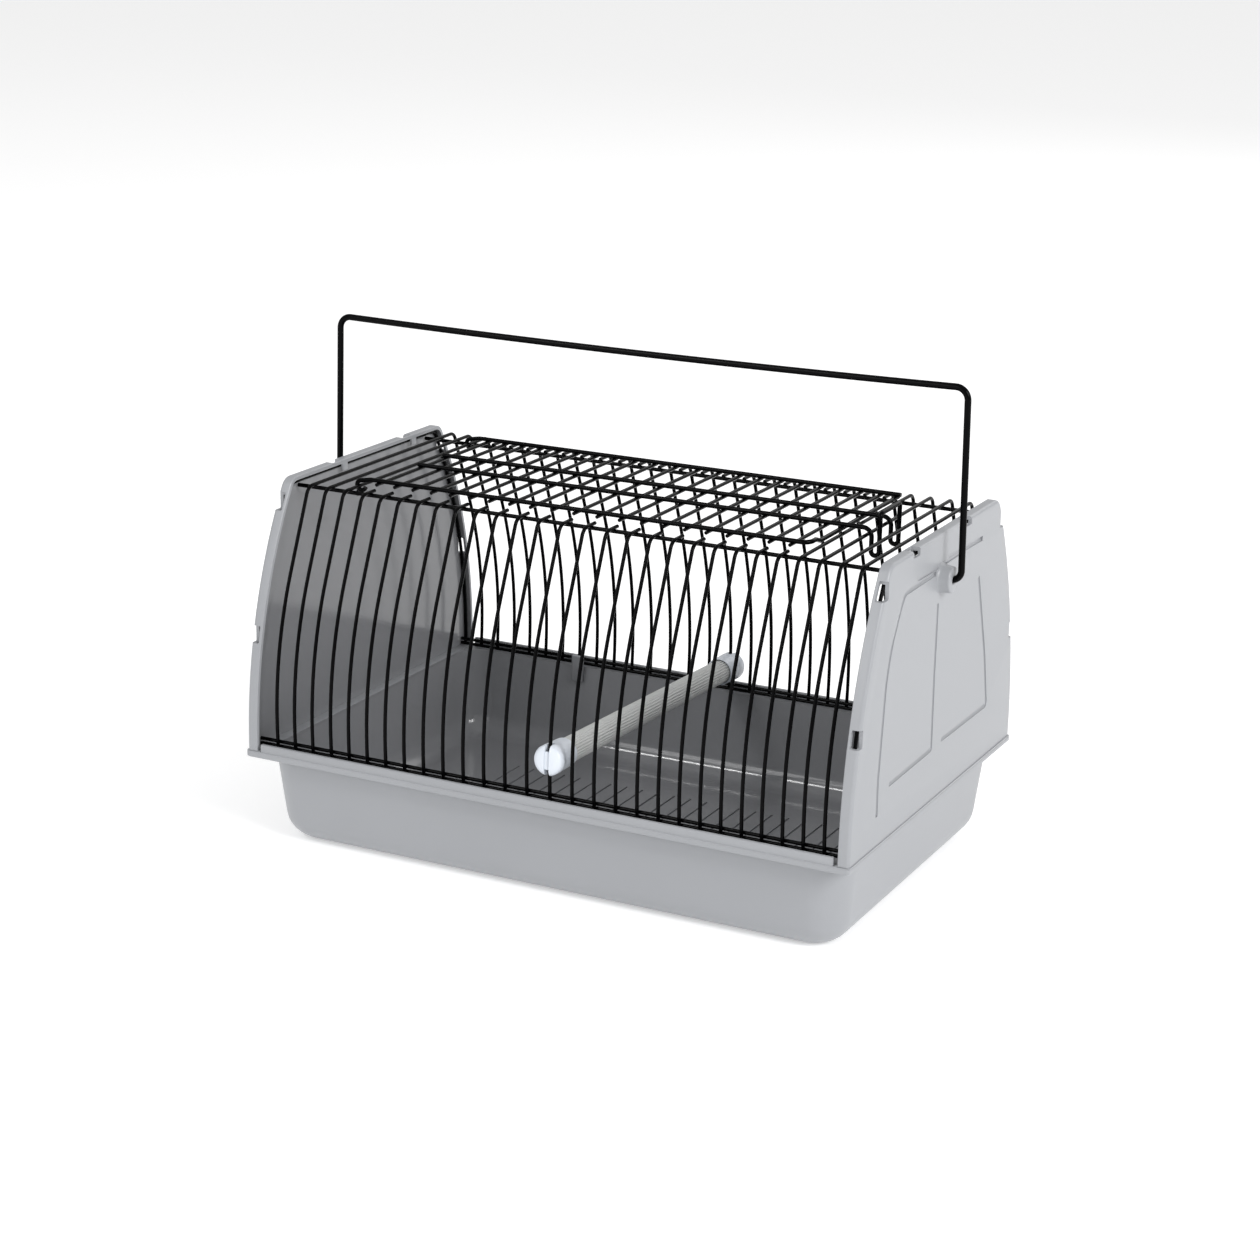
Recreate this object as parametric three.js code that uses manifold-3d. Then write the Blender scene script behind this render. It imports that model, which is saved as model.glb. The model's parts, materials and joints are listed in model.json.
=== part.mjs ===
// Small bird and animal carrier: a drafted tray, two moulded end panels, a barrel-curved wire cage
// with a sprung top door, a clip-on perch and a swinging wire bail.
// Millimetres. X runs along the long side, Y from front to back, Z up. The origin is on the floor
// under the middle of the tray.

import * as THREE from 'three';
import Module from 'manifold-3d';
import { mergeVertices } from 'three/addons/utils/BufferGeometryUtils.js';

const wasm = await Module();
wasm.setup();

// ---- driving dimensions -------------------------------------------------------------------
const HALF_LENGTH = 150;              // to the outer face of an end panel
const CLEARANCE = 0.3;                // left between separate pieces

const TRAY = {
  halfX: 145.3, halfY: 93.5,          // body just under the ledge
  wall: 2, floor: 2, draft: 0.1, cornerR: 14, bottomR: 12,
  ledgeZ: 42.4,                       // underside of the rim
  shelfZ: 45.3,                       // top of the shelf the cage stands on
  endShelfZ: 45.6, endShelfHalfY: 98.9,                    // the same under an end panel
  lipZ: 49.1, lipHalfX: 142.8,        // raised lip along the front and back
  rimHalfY: 100, lipHalfY: 99.4, lipThickness: 1.9,
};
const LUG = { x: 77.5, width: 6.3, innerY: 88.6, outerY: 90.7, bottomZ: 38, topZ: 51.5 };

const PANEL = {
  bottomZ: 45.9, topZ: 168.2, halfY: 99.2,
  upright: 4.1,                       // straight foot of the front and back edges
  sideR: 228,                         // radius of the curved rest of those edges
  filletR: 7, plate: 1.7, web: 1.8, depth: 5.3,
};
const WINDOW = { height: 8, reach: 3.4, width: 4.2, lowZ: 99.8, highZ: 158 };
const TOP_WINDOW_Y = { right: [-36.5, 25], left: [-27.5, 35] };
const BOSS = { y: -5, z: 148, r: 5.9, length: 5.3, boreR: 1.8 };

const BAR_R = 0.85;
const RAIL_R = 0.95;
const BOTTOM_RAIL_R = 0.85;
const DOOR_WIRE_R = 1.05;
const BAIL_R = 1.5;

const BAR_COUNT = 28;                 // bars between the two end panels
const BAR_PITCH = 10.16;
const BAR_SPREAD = 2.9;               // how far the bars shift outwards either side of the middle
const LEFT_HOOPS = [0, 1, 2];         // bars that run on over the top and down the back
const RIGHT_HOOPS = [24, 25, 26, 27];
const FIRST_SHORT_BAR = 3;
const LAST_SHORT_BAR = 23;

const BELLY = { y: 94, z: 62, r: 170, straightZ: 128 };   // outline of the barrel-curved bars
const BAR_BOTTOM_Z = 46.7;
const BAR_TOP_Z = 164.5;
const BAR_BEND_R = 5;
const HOOP_OUT = 0.55;                // hoops lie this much outside the short bars
const SHORT_BAR_END_Y = 54.6;
const EDGE_HOOP_X = 147.15;
const EDGE_INSET = 3.1;               // from the panel's outline to the middle of its edge hoop

const TOP_RAIL = { frontY: -57.5, backY: 56, z: 162.9, halfX: 147.3 };
const BOTTOM_RAIL = { y: 91.95, z: [47.2, 49.5], halfX: 147.3 };

const DOOR = {
  wireZ: 168.2, barZ: 166.8, edgeZ: 166.6, edgeX: 106, cornerR: 4,
  frontY: -50.5, backY: 49.5, nearLatchY: -13.5, farLatchY: 9.3,
  barFrontY: -53, barBackY: 52, wireEndX: 107, latchCutX: 106.9,
};
const KNUCKLE_R = 2.3;                  // middle of the door wire where it curls round its hinge bar
const LATCH = { legX: 119.65, pullX: 123.35, bottomZ: 156.2, topZ: 175.2, bendR: 4, pullR: 1.9 };

const BAIL = { footX: 158.6, topX: 157, topZ: 232.7, sag: 1.5, innerX: 147.6, footR: 4.5, topR: 5.5 };

const PERCH = {
  x: 5.77, middleZ: 62.25, rise: 4.25, span: 93.95, rodR: 5.75, rodGap: 6.3,
  headR: 7, headOut: 3.4, headIn: 4.5, collarEnd: 13, collarR: 6.9, socketR: 6.05, socketStart: 6,
  slotWidth: 2.4, slotDepth: 2.4, tabInner: 1.3, tabOuter: 2.9, tabHalfHeight: 4.2,
};

// ---- finishes -----------------------------------------------------------------------------
const finish = (name, color, roughness, metalness) =>
  new THREE.MeshStandardMaterial({ name, color, roughness, metalness });

const BODY_PLASTIC = () => finish('body_plastic', 0xa9abaf, 0.42, 0);
const BLACK_WIRE = () => finish('black_wire', 0x141416, 0.38, 0.4);
const PERCH_PLASTIC = () => finish('perch_plastic', 0xc9cbc8, 0.55, 0);
const CLIP_PLASTIC = () => finish('clip_plastic', 0xeef1f6, 0.35, 0);

// ---- helpers ------------------------------------------------------------------------------
const vec = (x, y, z) => new THREE.Vector3(x, y, z);

function toSolid(geometry) {
  const bare = geometry.clone();
  bare.deleteAttribute('normal');
  bare.deleteAttribute('uv');
  const merged = mergeVertices(bare, 1e-4);
  const index = merged.index.array;
  const corners = [];
  for (let i = 0; i < index.length; i += 3) {
    const [a, b, c] = [index[i], index[i + 1], index[i + 2]];
    if (a !== b && b !== c && c !== a) corners.push(a, b, c);
  }
  const mesh = new wasm.Mesh({
    numProp: 3,
    vertProperties: new Float32Array(merged.attributes.position.array),
    triVerts: new Uint32Array(corners),
  });
  return new wasm.Manifold(mesh);
}

function toGeometry(solid) {
  const mesh = solid.getMesh();
  const geometry = new THREE.BufferGeometry();
  geometry.setAttribute('position', new THREE.BufferAttribute(new Float32Array(mesh.vertProperties), 3));
  geometry.setIndex(new THREE.BufferAttribute(new Uint32Array(mesh.triVerts), 1));
  geometry.computeVertexNormals();
  return geometry;
}

function piece(name, geometry, material) {
  const mesh = new THREE.Mesh(geometry, material);
  mesh.name = name;
  return mesh;
}

// An axis-aligned block between two corners.
function block(low, high) {
  const geometry = new THREE.BoxGeometry(high[0] - low[0], high[1] - low[1], high[2] - low[2]);
  return geometry.translate((low[0] + high[0]) / 2, (low[1] + high[1]) / 2, (low[2] + high[2]) / 2);
}

// A path that passes through its own points, one extrusion step for each stretch.
class WirePath extends THREE.Curve {
  constructor(points) {
    super();
    this.points = points;
  }

  getPointAt(u) {
    const last = this.points.length - 1;
    const i = Math.min(Math.floor(u * last), last - 1);
    return this.points[i].clone().lerp(this.points[i + 1], u * last - i);
  }

  getTangentAt(u) {
    const last = this.points.length - 1;
    const i = Math.round(u * last);
    const before = this.points[Math.max(i - 1, 0)];
    const here = this.points[i];
    const after = this.points[Math.min(i + 1, last)];
    const inward = here.clone().sub(before).normalize();
    const outward = after.clone().sub(here).normalize();
    return inward.add(outward).normalize();
  }

  getSpacedPoints() {
    return this.points.map((p) => p.clone());
  }
}

// The stretch of a path round one corner, as an arc of the given radius.
function cornerArc(before, corner, after, radius, steps) {
  const inward = corner.clone().sub(before).normalize();
  const outward = after.clone().sub(corner).normalize();
  const turn = inward.angleTo(outward);
  const reach = radius * Math.tan(turn / 2);
  const start = corner.clone().addScaledVector(inward, -reach);
  const side = outward.clone().addScaledVector(inward, -inward.dot(outward)).normalize();
  const centre = start.clone().addScaledVector(side, radius);
  const arc = [];
  for (let i = 0; i <= steps; i += 1) {
    const angle = (turn * i) / steps;
    const point = centre.clone().addScaledVector(side, -radius * Math.cos(angle));
    arc.push(point.addScaledVector(inward, radius * Math.sin(angle)));
  }
  return arc;
}

// Corners are { p, r } with r left out where the path keeps its point as it is.
function roundedPath(corners, steps = 3) {
  const points = [];
  corners.forEach((corner, i) => {
    const inner = i > 0 && i < corners.length - 1;
    const stretch = inner && corner.r
      ? cornerArc(corners[i - 1].p, corner.p, corners[i + 1].p, corner.r, steps)
      : [corner.p];
    for (const point of stretch) {
      const last = points[points.length - 1];
      if (!last || last.distanceTo(point) > 0.02) points.push(point);
    }
  });
  return points;
}

// A round wire with flat ends along the given points.
function wire(points, radius, sides = 6) {
  const section = new THREE.Shape();
  for (let i = 0; i < sides; i += 1) {
    const angle = (2 * Math.PI * (i + 0.5)) / sides;
    const [u, v] = [radius * Math.cos(angle), radius * Math.sin(angle)];
    if (i === 0) section.moveTo(u, v);
    else section.lineTo(u, v);
  }
  section.closePath();
  const path = new WirePath(points);
  return new THREE.ExtrudeGeometry(section, {
    steps: points.length - 1, extrudePath: path, bevelEnabled: false, curveSegments: 1,
  });
}

const straightWire = (from, to, radius, sides) => wire([from, to], radius, sides);

function weld(geometries) {
  return geometries.map(toSolid).reduce((whole, next) => whole.add(next));
}

// ---- tray ---------------------------------------------------------------------------------
function roundedRectangle(halfX, halfY, radius) {
  const shape = new THREE.Shape();
  shape.moveTo(-halfX + radius, -halfY);
  shape.lineTo(halfX - radius, -halfY);
  shape.absarc(halfX - radius, -halfY + radius, radius, -Math.PI / 2, 0, false);
  shape.lineTo(halfX, halfY - radius);
  shape.absarc(halfX - radius, halfY - radius, radius, 0, Math.PI / 2, false);
  shape.lineTo(-halfX + radius, halfY);
  shape.absarc(-halfX + radius, halfY - radius, radius, Math.PI / 2, Math.PI, false);
  shape.lineTo(-halfX, -halfY + radius);
  shape.absarc(-halfX + radius, -halfY + radius, radius, Math.PI, 1.5 * Math.PI, false);
  return shape;
}

// A tub that widens upwards from a rounded bottom edge at bottomZ to a flat top at topZ.
function tub(halfX, halfY, cornerR, bottomR, bottomZ, topZ) {
  const inset = Math.min(bottomR, cornerR - 1);
  const shape = roundedRectangle(halfX - inset, halfY - inset, cornerR - inset);
  const geometry = new THREE.ExtrudeGeometry(shape, {
    depth: topZ - bottomZ, bevelEnabled: true, bevelThickness: bottomR,
    bevelSize: inset, bevelSegments: 5, curveSegments: 5,
  });
  geometry.translate(0, 0, bottomZ + bottomR);
  const position = geometry.attributes.position;
  for (let i = 0; i < position.count; i += 1) {
    const drop = topZ - position.getZ(i);
    position.setX(i, position.getX(i) * (1 - (TRAY.draft * drop) / halfX));
    position.setY(i, position.getY(i) * (1 - (TRAY.draft * drop) / halfY));
  }
  const above = block([-halfX - 9, -halfY - 9, topZ], [halfX + 9, halfY + 9, topZ + 90]);
  return toSolid(geometry).subtract(toSolid(above));
}

function lug(side) {
  const [low, high] = [side * LUG.x - LUG.width / 2, side * LUG.x + LUG.width / 2];
  const upright = block([low, LUG.innerY, LUG.bottomZ], [high, LUG.outerY, LUG.topZ]);
  const root = block([low, LUG.innerY, LUG.bottomZ], [high, TRAY.halfY - 1, TRAY.ledgeZ]);
  return toSolid(upright).add(toSolid(root));
}

function tray() {
  const t = TRAY;
  const rimTop = t.shelfZ;
  let solid = tub(t.halfX, t.halfY, t.cornerR, t.bottomR, 0, t.shelfZ);
  solid = solid.add(toSolid(block([-HALF_LENGTH, -t.rimHalfY, t.ledgeZ], [HALF_LENGTH, t.rimHalfY, rimTop])));
  for (const side of [-1, 1]) {
    const inner = side * (t.lipHalfX + 0.5);
    const [low, high] = [Math.min(inner, side * HALF_LENGTH), Math.max(inner, side * HALF_LENGTH)];
    solid = solid.add(toSolid(block([low, -t.endShelfHalfY, rimTop - 1], [high, t.endShelfHalfY, t.endShelfZ])));
    const face = side * t.lipHalfY;
    const [near, far] = [Math.min(face, face - side * t.lipThickness), Math.max(face, face - side * t.lipThickness)];
    solid = solid.add(toSolid(block([-t.lipHalfX, near, rimTop - 1], [t.lipHalfX, far, t.lipZ])));
  }
  const hollow = tub(t.halfX - t.wall, t.halfY - t.wall, t.cornerR - t.wall, t.bottomR - t.wall, t.floor, t.lipZ);
  solid = solid.subtract(hollow).add(lug(-1)).add(lug(1));
  return piece('tray', toGeometry(solid), BODY_PLASTIC());
}

// ---- end panels ---------------------------------------------------------------------------
// Outline of a panel in Y and Z, drawn inwards by the given inset. The bottom edge stays put.
function panelOutline(inset) {
  const [bottom, top] = [PANEL.bottomZ, PANEL.topZ - inset];
  const radius = PANEL.sideR - inset;
  const centreY = PANEL.halfY - PANEL.sideR;
  const fillet = PANEL.filletR - inset;
  const arcZ = bottom + PANEL.upright;
  const filletZ = top - fillet;
  const filletY = centreY + Math.sqrt((radius - fillet) ** 2 - (filletZ - arcZ) ** 2);
  const meet = Math.atan2(filletZ - arcZ, filletY - centreY);
  const shape = new THREE.Shape();
  shape.moveTo(-(centreY + radius), bottom);
  shape.lineTo(centreY + radius, bottom);
  shape.lineTo(centreY + radius, arcZ);
  shape.absarc(centreY, arcZ, radius, 0, meet, false);
  shape.absarc(filletY, filletZ, fillet, meet, Math.PI / 2, false);
  shape.lineTo(-filletY, top);
  shape.absarc(-filletY, filletZ, fillet, Math.PI / 2, Math.PI - meet, false);
  shape.absarc(-centreY, arcZ, radius, Math.PI - meet, Math.PI, false);
  return shape;
}

// A shape in Y and Z made solid from x0 to x1.
function slab(shape, x0, x1, curveSegments = 5) {
  const geometry = new THREE.ExtrudeGeometry(shape, { depth: x1 - x0, bevelEnabled: false, curveSegments });
  geometry.applyMatrix4(new THREE.Matrix4().makeBasis(vec(0, 1, 0), vec(0, 0, 1), vec(1, 0, 0)));
  return toSolid(geometry.translate(x0, 0, 0));
}

function edgeHalfY(z) {
  const centreY = PANEL.halfY - PANEL.sideR;
  return centreY + Math.sqrt(PANEL.sideR ** 2 - (z - PANEL.bottomZ - PANEL.upright) ** 2);
}

// The windows that show the edge hoop, cut through the flange and the corner of the outer face.
function panelWindows(side) {
  const [inner, outer] = [HALF_LENGTH - 4, HALF_LENGTH + 1];
  const cuts = [];
  for (const z of [WINDOW.lowZ, WINDOW.highZ]) {
    const [low, high] = [z - WINDOW.height / 2, z + WINDOW.height / 2];
    const reach = edgeHalfY(z) - WINDOW.reach;
    cuts.push(block([inner, reach, low], [outer, reach + 12, high]));
    cuts.push(block([inner, -reach - 12, low], [outer, -reach, high]));
  }
  for (const y of TOP_WINDOW_Y[side]) {
    const half = WINDOW.width;
    cuts.push(block([inner, y - half, PANEL.topZ - WINDOW.reach], [outer, y + half, PANEL.topZ + 1]));
  }
  return cuts.map(toSolid);
}

function boss() {
  const profile = [
    [BOSS.boreR, -PANEL.plate - 1], [BOSS.r + 0.4, -PANEL.plate - 1], [BOSS.r + 0.4, 0],
    [BOSS.r, BOSS.length], [BOSS.boreR, BOSS.length], [BOSS.boreR, -PANEL.plate - 1],
  ].map(([r, h]) => new THREE.Vector2(r, h));
  const geometry = new THREE.LatheGeometry(profile, 20);
  geometry.rotateZ(-Math.PI / 2);
  return toSolid(geometry.translate(HALF_LENGTH, BOSS.y, BOSS.z));
}

function bore() {
  const geometry = new THREE.CylinderGeometry(BOSS.boreR, BOSS.boreR, 30, 20);
  geometry.rotateZ(Math.PI / 2);
  return toSolid(geometry.translate(HALF_LENGTH, BOSS.y, BOSS.z));
}

function endPanel(side) {
  const inner = HALF_LENGTH - PANEL.depth;
  const behindPlate = HALF_LENGTH - PANEL.plate;
  const pan = slab(panelOutline(PANEL.web), inner - 1, behindPlate);
  const openBottom = toSolid(block(
    [inner - 1, -PANEL.halfY + PANEL.web, PANEL.bottomZ - 1],
    [behindPlate, PANEL.halfY - PANEL.web, PANEL.bottomZ + 1],
  ));
  let solid = slab(panelOutline(0), inner, HALF_LENGTH).subtract(pan).subtract(openBottom);
  for (const cut of panelWindows(side)) solid = solid.subtract(cut);
  solid = solid.subtract(bore()).add(boss());
  const geometry = toGeometry(solid);
  if (side === 'left') mirrorX(geometry);
  return piece(`${side}_end_panel`, geometry, BODY_PLASTIC());
}

function mirrorX(geometry) {
  const position = geometry.attributes.position;
  for (let i = 0; i < position.count; i += 1) position.setX(i, -position.getX(i));
  const index = geometry.index.array;
  for (let i = 0; i < index.length; i += 3) [index[i], index[i + 1]] = [index[i + 1], index[i]];
  geometry.computeVertexNormals();
}

// ---- wire cage ----------------------------------------------------------------------------
function barX(i) {
  const fromMiddle = i - (BAR_COUNT - 1) / 2;
  const steps = Math.abs(fromMiddle);
  const spread = BAR_SPREAD * Math.sin(Math.PI * (steps / 12.5) ** 0.8);
  return Math.sign(fromMiddle) * (BAR_PITCH * steps + spread);
}

// Half depth of the barrel-curved bars at height z: an arc, then a straight run to the top bend.
function bellyHalfY(z) {
  const arc = (h) => BELLY.y - BELLY.r + Math.sqrt(BELLY.r ** 2 - (h - BELLY.z) ** 2);
  if (z <= BELLY.straightZ) return arc(z);
  const rise = BELLY.straightZ - BELLY.z;
  const slope = rise / Math.sqrt(BELLY.r ** 2 - rise ** 2);
  return arc(BELLY.straightZ) - slope * (z - BELLY.straightZ);
}

// Side of a bar from its foot up to the corner at the top, at the front (-1) or the back (1).
function barSide(x, face, out, topZ) {
  const corners = [];
  const steps = 4;
  for (let i = 0; i <= steps; i += 1) {
    const z = BAR_BOTTOM_Z + ((BELLY.straightZ - BAR_BOTTOM_Z) * i) / steps;
    corners.push({ p: vec(x, face * (bellyHalfY(z) + out), z) });
  }
  corners.push({ p: vec(x, face * (bellyHalfY(topZ) + out), topZ), r: BAR_BEND_R });
  return corners;
}

function shortBar(i, face) {
  const corners = barSide(barX(i), face, 0, BAR_TOP_Z);
  corners.push({ p: vec(barX(i), face * SHORT_BAR_END_Y, BAR_TOP_Z) });
  return wire(roundedPath(corners, 2), BAR_R);
}

function hoop(i) {
  const front = barSide(barX(i), -1, HOOP_OUT, BAR_TOP_Z + HOOP_OUT);
  const back = barSide(barX(i), 1, HOOP_OUT, BAR_TOP_Z + HOOP_OUT).reverse();
  return piece(`hoop_bar_${String(i + 1).padStart(2, '0')}`, wire(roundedPath([...front, ...back], 2), BAR_R), BLACK_WIRE());
}

// The hoop that runs in an end panel's channel, parallel to the panel's outline.
function edgeHoop(side) {
  const x = side === 'left' ? -EDGE_HOOP_X : EDGE_HOOP_X;
  const outline = panelOutline(EDGE_INSET).getPoints(4).slice(1);
  const points = outline.map((p) => vec(x, p.x, p.y));
  const foot = PANEL.bottomZ + 1;
  for (const end of [points[0], points[points.length - 1]]) end.z = foot;
  return piece(`${side}_edge_hoop`, wire(points, BAR_R), BLACK_WIRE());
}

// Short bars of one face welded to the top rail and the two bottom rails of that face.
function grille(name, face) {
  const wires = [];
  for (let i = FIRST_SHORT_BAR; i <= LAST_SHORT_BAR; i += 1) wires.push(shortBar(i, face));
  const rail = (y, z, halfX, radius) =>
    wires.push(straightWire(vec(-halfX, y, z), vec(halfX, y, z), radius));
  rail(face < 0 ? TOP_RAIL.frontY : TOP_RAIL.backY, TOP_RAIL.z, TOP_RAIL.halfX, RAIL_R);
  for (const z of BOTTOM_RAIL.z) rail(face * BOTTOM_RAIL.y, z, BOTTOM_RAIL.halfX, BOTTOM_RAIL_R);
  return piece(name, toGeometry(weld(wires)), BLACK_WIRE());
}

// ---- top door -----------------------------------------------------------------------------
const HINGE = { x: barX(LEFT_HOOPS[LEFT_HOOPS.length - 1]), z: BAR_TOP_Z + HOOP_OUT };

// The end of a door wire, curled round the hinge bar.
function knuckle(y) {
  const points = [];
  const steps = 9;
  for (let i = steps; i >= 0; i -= 1) {
    const angle = THREE.MathUtils.degToRad(90 + (250 * i) / steps);
    points.push(vec(HINGE.x + KNUCKLE_R * Math.cos(angle), y, HINGE.z + KNUCKLE_R * Math.sin(angle)));
  }
  points.push(vec(HINGE.x + 5, y, DOOR.wireZ));
  return points;
}

// Front wire and right-hand edge of the door, one piece bent at the corner.
function doorFrontWire() {
  const d = DOOR;
  const bend = roundedPath([
    { p: vec(0, d.frontY, d.wireZ) },
    { p: vec(d.edgeX, d.frontY, d.wireZ), r: d.cornerR },
    { p: vec(d.edgeX, d.frontY + 7, d.wireZ) },
  ]);
  const edge = [vec(d.edgeX, d.frontY + 12, d.edgeZ), vec(d.edgeX, d.barBackY, d.edgeZ)];
  return wire([...knuckle(d.frontY), ...bend.slice(1), ...edge], DOOR_WIRE_R);
}

function doorBackWire() {
  const points = [...knuckle(DOOR.backY), vec(DOOR.wireEndX + 1.4, DOOR.backY, DOOR.wireZ)];
  return wire(points, DOOR_WIRE_R);
}

function doorCrossWire(y) {
  const start = barX(FIRST_SHORT_BAR) - 1.5;
  return straightWire(vec(start, y, DOOR.wireZ), vec(DOOR.latchCutX, y, DOOR.wireZ), DOOR_WIRE_R);
}

function topDoor() {
  const wires = [doorFrontWire(), doorBackWire(), doorCrossWire(DOOR.nearLatchY), doorCrossWire(DOOR.farLatchY)];
  for (let i = FIRST_SHORT_BAR; i <= LAST_SHORT_BAR; i += 1) {
    const x = barX(i);
    wires.push(straightWire(vec(x, DOOR.barFrontY, DOOR.barZ), vec(x, DOOR.barBackY, DOOR.barZ), BAR_R));
  }
  return piece('top_door', toGeometry(weld(wires)), BLACK_WIRE());
}

// The two sprung hooks and the thumb pull between them, one bent wire.
function doorLatch() {
  const l = LATCH;
  const startX = DOOR.latchCutX + CLEARANCE;
  const halfU = (l.pullX - l.legX) / 2;
  const hook = (y) => [
    { p: vec(startX, y, DOOR.wireZ) },
    { p: vec(l.legX, y, DOOR.wireZ), r: l.bendR },
    { p: vec(l.legX, y, l.bottomZ), r: halfU },
    { p: vec(l.pullX, y, l.bottomZ), r: halfU },
    { p: vec(l.pullX, y, l.topZ), r: l.pullR },
  ];
  const corners = [...hook(DOOR.nearLatchY), ...hook(DOOR.farLatchY).reverse()];
  return piece('door_latch', wire(roundedPath(corners, 4), DOOR_WIRE_R), BLACK_WIRE());
}

// ---- bail ---------------------------------------------------------------------------------
function bail() {
  const b = BAIL;
  const [y, foot] = [BOSS.y, BOSS.z];
  const half = (side) => [
    { p: vec(side * b.innerX, y, foot) },
    { p: vec(side * b.footX, y, foot), r: b.footR },
    { p: vec(side * b.topX, y, b.topZ), r: b.topR },
  ];
  const corners = [...half(-1), { p: vec(0, y, b.topZ - b.sag), r: 4000 }, ...half(1).reverse()];
  return piece('handle_bail', wire(roundedPath(corners, 5), BAIL_R, 8), BLACK_WIRE());
}

// ---- perch --------------------------------------------------------------------------------
// A clip along +Y: the cage bar passes through the origin, outwards is +Y.
function perchClip() {
  const p = PERCH;
  const profile = [
    [0, -p.headIn], [p.collarR, -p.headIn], [p.headR, -p.headIn + 1.4], [p.headR, p.headOut - 2],
    [p.headR - 1.2, p.headOut - 0.6], [p.headR - 3, p.headOut], [0, p.headOut],
  ].map(([r, h]) => new THREE.Vector2(r, h));
  const head = toSolid(new THREE.LatheGeometry(profile, 20));
  const collarProfile = [
    [0, -p.socketStart], [p.socketR, -p.socketStart], [p.socketR, -p.collarEnd],
    [p.collarR - 0.2, -p.collarEnd], [p.collarR, -p.headIn + 0.5], [0, -p.headIn + 0.5],
  ].map(([r, h]) => new THREE.Vector2(r, h));
  const collar = toSolid(new THREE.LatheGeometry(collarProfile, 20));
  const half = p.slotWidth / 2;
  const slot = toSolid(block([-half, -p.slotDepth, -20], [half, 20, 20]));
  const tab = toSolid(block([-half + 0.3, p.tabInner, -p.tabHalfHeight], [half + 1, p.tabOuter, p.tabHalfHeight]));
  return toGeometry(head.add(collar).subtract(slot).add(tab));
}

function perch() {
  const group = new THREE.Group();
  const slope = Math.atan2(PERCH.rise, PERCH.span);
  const reach = Math.hypot(PERCH.rise, PERCH.span);
  const rodGeometry = new THREE.CylinderGeometry(PERCH.rodR, PERCH.rodR, 2 * (reach - PERCH.rodGap), 20);
  const rod = piece('perch_rod', rodGeometry, PERCH_PLASTIC());
  const front = piece('perch_clip_front', perchClip(), CLIP_PLASTIC());
  const back = piece('perch_clip_back', perchClip(), CLIP_PLASTIC());
  front.position.set(0, -reach, 0);
  front.rotation.z = Math.PI;
  back.position.set(0, reach, 0);
  group.add(rod, front, back);
  group.position.set(PERCH.x, 0, PERCH.middleZ);
  group.rotation.x = -slope;
  return group;
}

// ---- assembly -----------------------------------------------------------------------------
const group = new THREE.Group();
group.add(tray(), endPanel('left'), endPanel('right'));
group.add(grille('front_grille', -1), grille('back_grille', 1));
group.add(edgeHoop('left'), edgeHoop('right'));
for (const i of [...LEFT_HOOPS, ...RIGHT_HOOPS]) group.add(hoop(i));
group.add(topDoor(), doorLatch(), bail(), perch());

export default group;
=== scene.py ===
import json
import logging
import math
from dataclasses import dataclass
from enum import Enum
from typing import Any, Optional, Sequence, Union

import bmesh
import bpy
from mathutils import Matrix, Vector

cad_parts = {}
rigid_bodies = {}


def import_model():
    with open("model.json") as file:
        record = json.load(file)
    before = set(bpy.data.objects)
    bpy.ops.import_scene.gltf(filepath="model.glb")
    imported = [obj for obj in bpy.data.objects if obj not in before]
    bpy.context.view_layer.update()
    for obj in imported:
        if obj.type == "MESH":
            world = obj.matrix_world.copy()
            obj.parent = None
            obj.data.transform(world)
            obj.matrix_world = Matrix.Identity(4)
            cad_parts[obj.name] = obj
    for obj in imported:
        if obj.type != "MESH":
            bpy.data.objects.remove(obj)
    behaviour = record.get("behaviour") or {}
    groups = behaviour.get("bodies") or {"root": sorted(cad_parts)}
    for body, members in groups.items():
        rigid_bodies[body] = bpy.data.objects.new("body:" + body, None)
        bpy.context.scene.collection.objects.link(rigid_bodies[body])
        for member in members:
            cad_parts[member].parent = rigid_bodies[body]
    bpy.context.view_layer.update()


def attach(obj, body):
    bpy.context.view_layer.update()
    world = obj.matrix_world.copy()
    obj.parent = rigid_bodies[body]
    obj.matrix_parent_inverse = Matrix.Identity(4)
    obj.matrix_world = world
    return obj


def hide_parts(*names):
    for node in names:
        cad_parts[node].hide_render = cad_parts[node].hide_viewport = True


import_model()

MM = 0.001

log = logging.getLogger("carrier")

Point2 = tuple[float, float]
Number = Union[float, int, "Socket"]


class Side(Enum):
    """An end of the carrier, by the sign of X."""

    LEFT = -1
    RIGHT = 1


class Face(Enum):
    """A long face of the carrier, by the sign of Y."""

    FRONT = -1
    BACK = 1


# ---- shader and geometry node maths ---------------------------------------------------------


class Net:
    """A node tree that is being built."""

    def __init__(self, tree: bpy.types.NodeTree) -> None:
        """Args:
            tree: the empty or cleared tree to fill.
        """
        self.tree = tree

    def node(self, kind: str, settings: Optional[dict[str, Any]] = None,
             inputs: Optional[dict[Any, Any]] = None) -> bpy.types.Node:
        """Makes any node.

        Args:
            kind: the node's type name.
            settings: attributes set on the node.
            inputs: values or Sockets by input name or index.

        Returns:
            The new node.
        """
        made = self.tree.nodes.new(kind)
        for name, value in (settings or {}).items():
            setattr(made, name, value)
        for key, value in (inputs or {}).items():
            if isinstance(value, Socket):
                self.tree.links.new(value.raw, made.inputs[key])
            elif isinstance(value, bpy.types.NodeSocket):
                self.tree.links.new(value, made.inputs[key])
            else:
                made.inputs[key].default_value = value
        return made

    def out(self, kind: str, settings: Optional[dict[str, Any]] = None,
            inputs: Optional[dict[Any, Any]] = None, output: Any = 0) -> "Socket":
        """Makes a node and returns one of its outputs as a Socket."""
        return Socket(self, self.node(kind, settings, inputs).outputs[output])


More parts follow.
